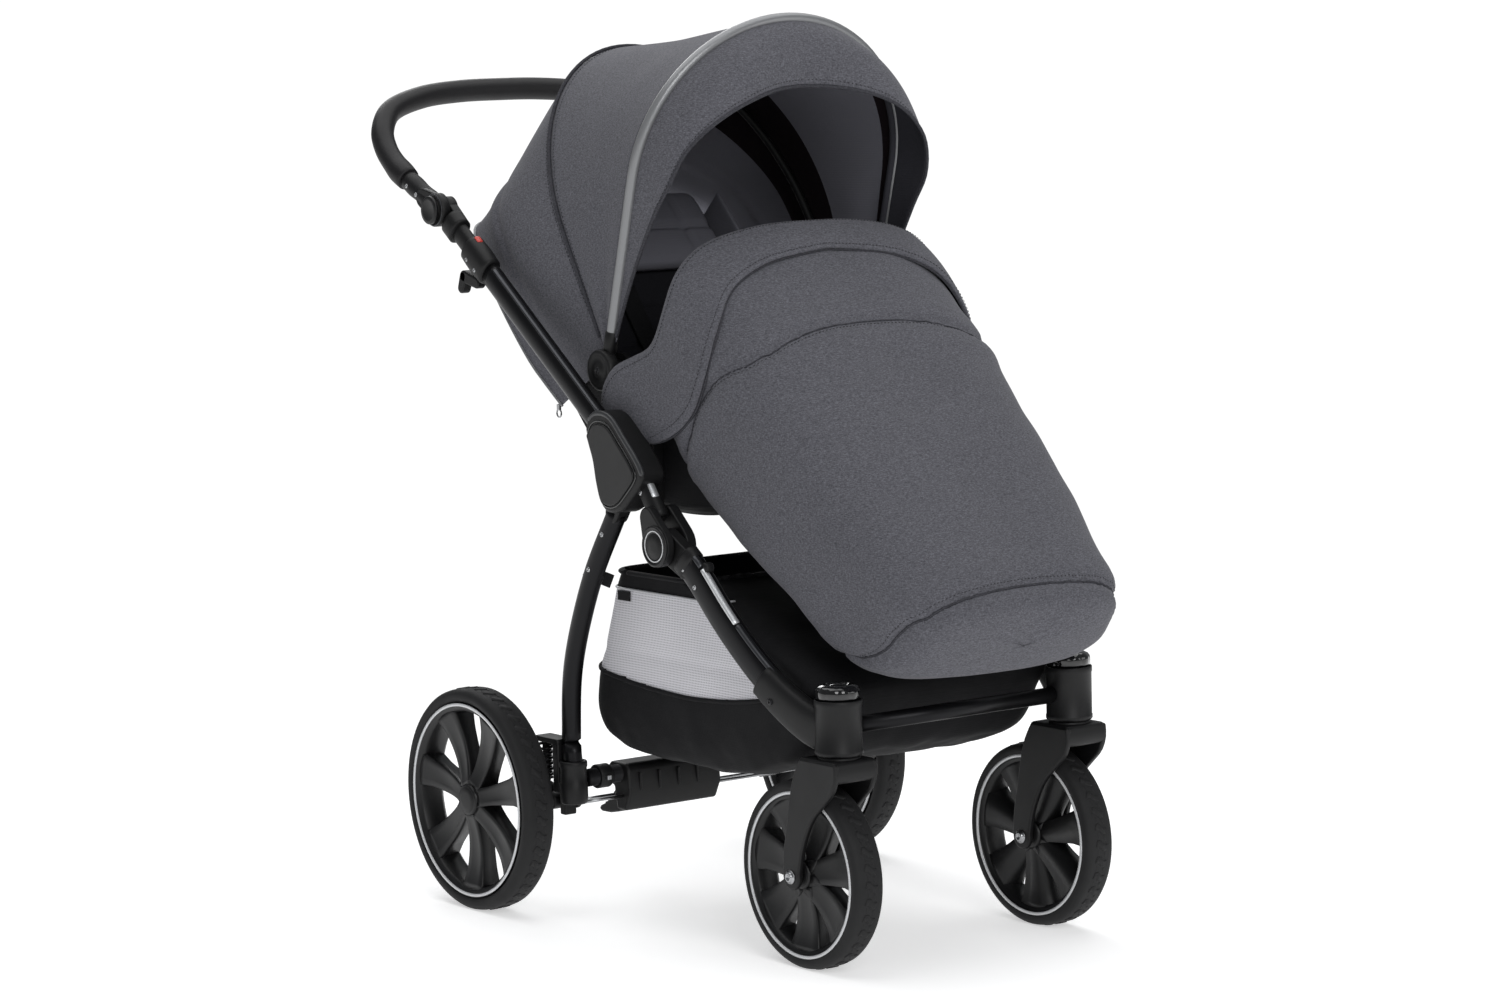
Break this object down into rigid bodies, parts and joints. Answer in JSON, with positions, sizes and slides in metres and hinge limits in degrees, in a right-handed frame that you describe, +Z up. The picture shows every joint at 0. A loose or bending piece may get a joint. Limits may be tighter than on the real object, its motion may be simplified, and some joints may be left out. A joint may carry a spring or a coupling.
{
  "type": "baby stroller",
  "caption": "Folding pushchair with a lift-off reclining seat, folding hood, foot cover, tilting handle, swivelling front wheels, sprung rear wheels and a basket.",
  "frame": {"origin": "centre of the bounding box on the ground plane", "axes": "+Z up; the child faces -Y, the handle is at +Y; +X is the child's left-hand side frame (names ending in _l)"},
  "size_m": [0.62, 1.136, 1.1439],
  "materials": {
    "anodised": "satin black anodised tube",
    "frame_plastic": "fine-grained matt black moulding",
    "gloss_cap": "polished black moulding",
    "leatherette": "matt black leatherette with a fine grain",
    "tyre": "matt black solid tyre with moulded tread",
    "melange": "dark grey melange weave, water-repellent",
    "lining": "charcoal lining, brushed",
    "black_cloth": "black plain-weave polyester",
    "silver_piping": "silver-grey leatherette sleeve over a steel hoop",
    "spring_steel": "zinc-plated wire"
  },
  "bodies": {
    "chassis": {"upper_tube_l": "anodised", "upper_tube_r": "anodised", "side_housing_l": "frame_plastic", "side_housing_r": "frame_plastic", "knee_arm_l": "frame_plastic", "knee_arm_r": "frame_plastic", "handle_post_l": "frame_plastic", "handle_post_r": "frame_plastic", "basket": "black_cloth"},
    "handle": {"handle_bar": "leatherette", "handle_arm_l": "frame_plastic", "handle_arm_r": "frame_plastic"},
    "front_frame": {"front_leg_l": "anodised", "front_leg_r": "anodised", "caster_housing_l": "frame_plastic", "caster_housing_r": "frame_plastic", "front_cross_tube": "anodised"},
    "rear_frame": {"rear_leg_l": "anodised", "rear_leg_r": "anodised", "leg_socket_l": "frame_plastic", "leg_socket_r": "frame_plastic", "suspension_spring_l": "spring_steel", "suspension_spring_r": "spring_steel", "axle_tube": "anodised", "brake_housing": "frame_plastic"},
    "brake": {"brake_pedal": "frame_plastic"},
    "seat": {"seat_shell": "black_cloth", "seat_pad": "lining", "buckle": "frame_plastic", "foot_cover": "melange"},
    "calf_rest": {"footrest": "frame_plastic"},
    "bumper": {"bumper_bar": "leatherette"},
    "buckle_release": {"buckle_button": "frame_plastic"},
    "back": {"backrest": "black_cloth", "back_pad": "lining", "hood_rear": "melange"},
    "hood_middle": {"bow_mid": "frame_plastic", "hood_mid": "melange"},
    "hood_front": {"bow_front": "silver_piping", "visor": "melange"},
    "tilt_button_l": {"hinge_button_l": "frame_plastic"},
    "trigger_l": {"fold_trigger_l": "frame_plastic"},
    "cap_l": {"caster_cap_l": "gloss_cap"},
    "caster_l": {"caster_fork_l": "frame_plastic"},
    "lock_l": {"swivel_lock_l": "frame_plastic"},
    "front_wheel_l": {"front_tyre_l": "tyre", "front_rim_l": "frame_plastic"},
    "swing_arm_l": {"suspension_arm_l": "frame_plastic"},
    "rear_wheel_l": {"rear_tyre_l": "tyre", "rear_rim_l": "frame_plastic"},
    "tilt_button_r": {"hinge_button_r": "frame_plastic"},
    "trigger_r": {"fold_trigger_r": "frame_plastic"},
    "cap_r": {"caster_cap_r": "gloss_cap"},
    "caster_r": {"caster_fork_r": "frame_plastic"},
    "lock_r": {"swivel_lock_r": "frame_plastic"},
    "front_wheel_r": {"front_tyre_r": "tyre", "front_rim_r": "frame_plastic"},
    "swing_arm_r": {"suspension_arm_r": "frame_plastic"},
    "rear_wheel_r": {"rear_tyre_r": "tyre", "rear_rim_r": "frame_plastic"}
  },
  "joints": [
    {"name": "handle_tilt", "type": "hinge", "parent": "chassis", "child": "handle", "pos_m": [0, 0.3335, 0.90046], "axis": [1, 0, 0], "range_deg": [-30, 25]},
    {"name": "front_fold", "type": "hinge", "parent": "chassis", "child": "front_frame", "pos_m": [0, -0.1535, 0.50046], "axis": [1, 0, 0], "range_deg": [0, 111], "deforming": ["basket"]},
    {"name": "rear_fold", "type": "hinge", "parent": "chassis", "child": "rear_frame", "pos_m": [0, -0.0645, 0.56246], "axis": [1, 0, 0], "range_deg": [0, 90]},
    {"name": "brake_press", "type": "hinge", "parent": "rear_frame", "child": "brake", "pos_m": [-0.115, 0.0995, 0.14946], "axis": [-1, 0, 0], "range_deg": [0, 18]},
    {"name": "seat_lift_off", "type": "slide", "parent": "chassis", "child": "seat", "axis": [0, 0, 1], "range_m": [0, 0.1]},
    {"name": "footrest_angle", "type": "hinge", "parent": "seat", "child": "calf_rest", "pos_m": [0, -0.2365, 0.57646], "axis": [-1, 0, 0], "range_deg": [0, 35], "deforming": ["foot_cover"]},
    {"name": "bumper_pull_out", "type": "slide", "parent": "seat", "child": "bumper", "axis": [0, 0, 1], "range_m": [0, 0.035]},
    {"name": "buckle_press", "type": "slide", "parent": "seat", "child": "buckle_release", "axis": [0, 1, 0], "range_m": [0, 0.003], "stiffness_N_per_m": 600, "springref_m": -0.002},
    {"name": "backrest_recline", "type": "hinge", "parent": "seat", "child": "back", "pos_m": [0, 0.0515, 0.58946], "axis": [1, 0, 0], "range_deg": [-25, 10]},
    {"name": "hood_middle_fold", "type": "hinge", "parent": "back", "child": "hood_middle", "pos_m": [0, 0.0085, 0.70546], "axis": [-1, 0, 0], "range_deg": [0, 25], "deforming": ["hood_rear"]},
    {"name": "hood_front_fold", "type": "hinge", "parent": "hood_middle", "child": "hood_front", "pos_m": [0, 0.0085, 0.70546], "axis": [-1, 0, 0], "range_deg": [0, 34], "deforming": ["hood_mid"]},
    {"name": "tilt_button_press_l", "type": "slide", "parent": "handle", "child": "tilt_button_l", "axis": [-1, 0, 0], "range_m": [0, 0.003], "stiffness_N_per_m": 800, "springref_m": -0.002},
    {"name": "trigger_pull_l", "type": "hinge", "parent": "chassis", "child": "trigger_l", "pos_m": [0.235, 0.25343, 0.8071], "axis": [1, 0, 0], "range_deg": [0, 18], "stiffness_Nm_per_rad": 0.5, "springref_deg": -8.59},
    {"name": "cap_press_l", "type": "slide", "parent": "front_frame", "child": "cap_l", "axis": [0, 0, -1], "range_m": [0, 0.004], "stiffness_N_per_m": 1500, "springref_m": -0.002},
    {"name": "caster_swivel_l", "type": "hinge", "parent": "front_frame", "child": "caster_l", "pos_m": [0.181, -0.4145, 0.28946], "axis": [0, 0, 1], "continuous": true},
    {"name": "swivel_lock_flip_l", "type": "hinge", "parent": "caster_l", "child": "lock_l", "pos_m": [0.181, -0.3685, 0.24646], "axis": [1, 0, 0], "range_deg": [0, 20]},
    {"name": "front_wheel_spin_l", "type": "hinge", "parent": "caster_l", "child": "front_wheel_l", "pos_m": [0.181, -0.3565, 0.1149], "axis": [1, 0, 0], "continuous": true},
    {"name": "suspension_l", "type": "hinge", "parent": "rear_frame", "child": "swing_arm_l", "pos_m": [0.238, 0.1035, 0.14946], "axis": [1, 0, 0], "range_deg": [0, 6], "stiffness_Nm_per_rad": 60, "springref_deg": -8.59, "deforming": ["suspension_spring_l"]},
    {"name": "rear_wheel_spin_l", "type": "hinge", "parent": "swing_arm_l", "child": "rear_wheel_l", "pos_m": [0.287, 0.2115, 0.14377], "axis": [1, 0, 0], "continuous": true},
    {"name": "tilt_button_press_r", "type": "slide", "parent": "handle", "child": "tilt_button_r", "axis": [1, 0, 0], "range_m": [0, 0.003], "stiffness_N_per_m": 800, "springref_m": -0.002},
    {"name": "trigger_pull_r", "type": "hinge", "parent": "chassis", "child": "trigger_r", "pos_m": [-0.235, 0.25343, 0.8071], "axis": [1, 0, 0], "range_deg": [0, 18], "stiffness_Nm_per_rad": 0.5, "springref_deg": -8.59},
    {"name": "cap_press_r", "type": "slide", "parent": "front_frame", "child": "cap_r", "axis": [0, 0, -1], "range_m": [0, 0.004], "stiffness_N_per_m": 1500, "springref_m": -0.002},
    {"name": "caster_swivel_r", "type": "hinge", "parent": "front_frame", "child": "caster_r", "pos_m": [-0.181, -0.4145, 0.28946], "axis": [0, 0, 1], "continuous": true},
    {"name": "swivel_lock_flip_r", "type": "hinge", "parent": "caster_r", "child": "lock_r", "pos_m": [-0.181, -0.3685, 0.24646], "axis": [1, 0, 0], "range_deg": [0, 20]},
    {"name": "front_wheel_spin_r", "type": "hinge", "parent": "caster_r", "child": "front_wheel_r", "pos_m": [-0.181, -0.3565, 0.1149], "axis": [1, 0, 0], "continuous": true},
    {"name": "suspension_r", "type": "hinge", "parent": "rear_frame", "child": "swing_arm_r", "pos_m": [-0.238, 0.1035, 0.14946], "axis": [1, 0, 0], "range_deg": [0, 6], "stiffness_Nm_per_rad": 60, "springref_deg": -8.59, "deforming": ["suspension_spring_r"]},
    {"name": "rear_wheel_spin_r", "type": "hinge", "parent": "swing_arm_r", "child": "rear_wheel_r", "pos_m": [-0.287, 0.2115, 0.14377], "axis": [1, 0, 0], "continuous": true}
  ],
  "couplings": [
    {"joint": "rear_fold", "follows": "front_fold", "ratio": 0.8108},
    {"joint": "hood_middle_fold", "follows": "hood_front_fold", "ratio": 0.735}
  ]
}
